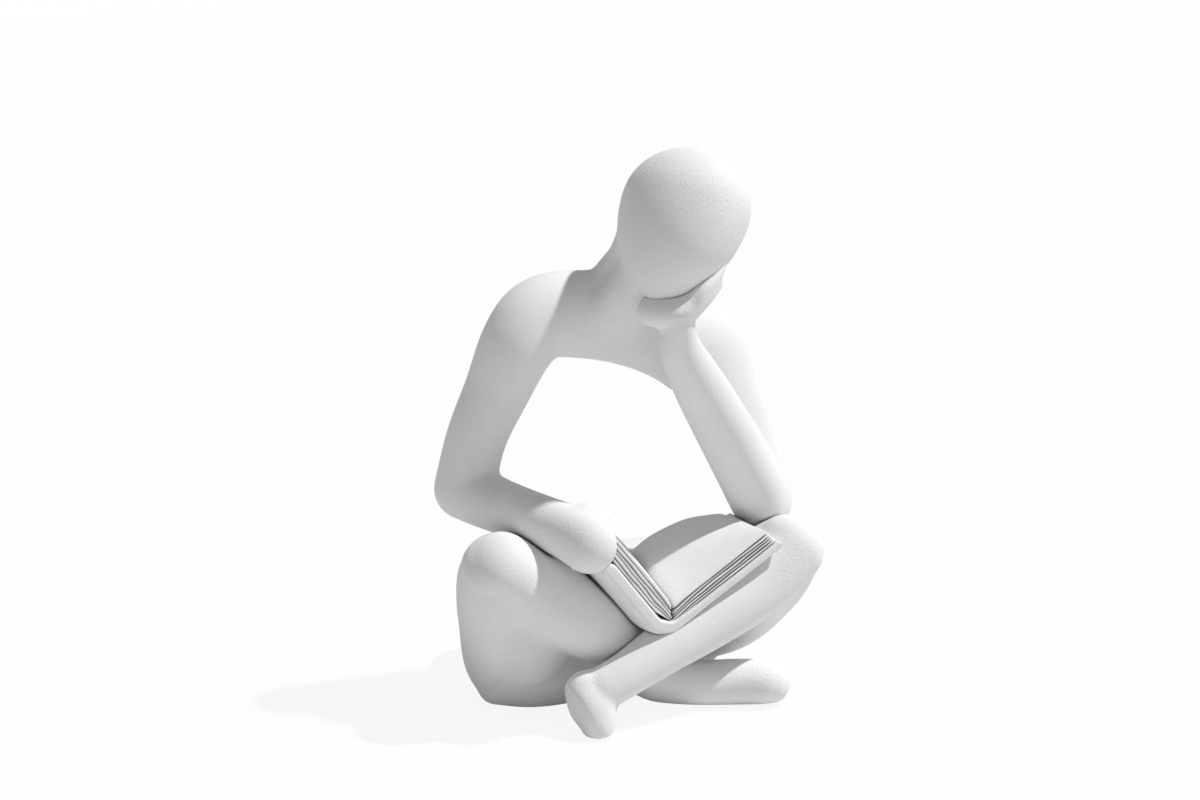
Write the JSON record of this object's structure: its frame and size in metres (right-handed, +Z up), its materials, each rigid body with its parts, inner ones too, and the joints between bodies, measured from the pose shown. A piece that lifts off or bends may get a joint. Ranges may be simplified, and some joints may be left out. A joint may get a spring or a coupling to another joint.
{
  "type": "abstract reading figurine",
  "caption": "Matte white featureless figure seated cross-legged over an open book, its head resting on one hand; a free-standing shelf or desk ornament.",
  "frame": {"origin": "middle of the figure's plan, on the surface that it stands on", "axes": "+Z up, -Y the way the figure faces, +X towards the figure's left side"},
  "size_m": [0.1104, 0.086, 0.1653],
  "materials": {
    "resin": "matte",
    "dowel_steel": "satin",
    "felt": "matte"
  },
  "bodies": {
    "root": {"head": "resin", "shoulder_yoke": "resin", "right_upper_arm": "resin", "right_forearm": "resin", "left_upper_arm": "resin", "left_forearm": "resin", "seat": "resin", "right_leg": "resin", "left_leg": "resin", "book_cover": "resin", "left_page_block": "resin", "right_page_block": "resin", "neck_pin": "dowel_steel", "right_shoulder_pin": "dowel_steel", "left_shoulder_pin": "dowel_steel", "right_elbow_pin": "dowel_steel", "left_elbow_pin": "dowel_steel", "right_knee_pin": "dowel_steel", "left_knee_pin": "dowel_steel", "right_hip_pin": "dowel_steel", "left_hip_pin": "dowel_steel", "right_hip_pad": "felt", "left_hip_pad": "felt", "right_foot_pad": "felt", "left_foot_pad": "felt"}
  },
  "joints": []
}
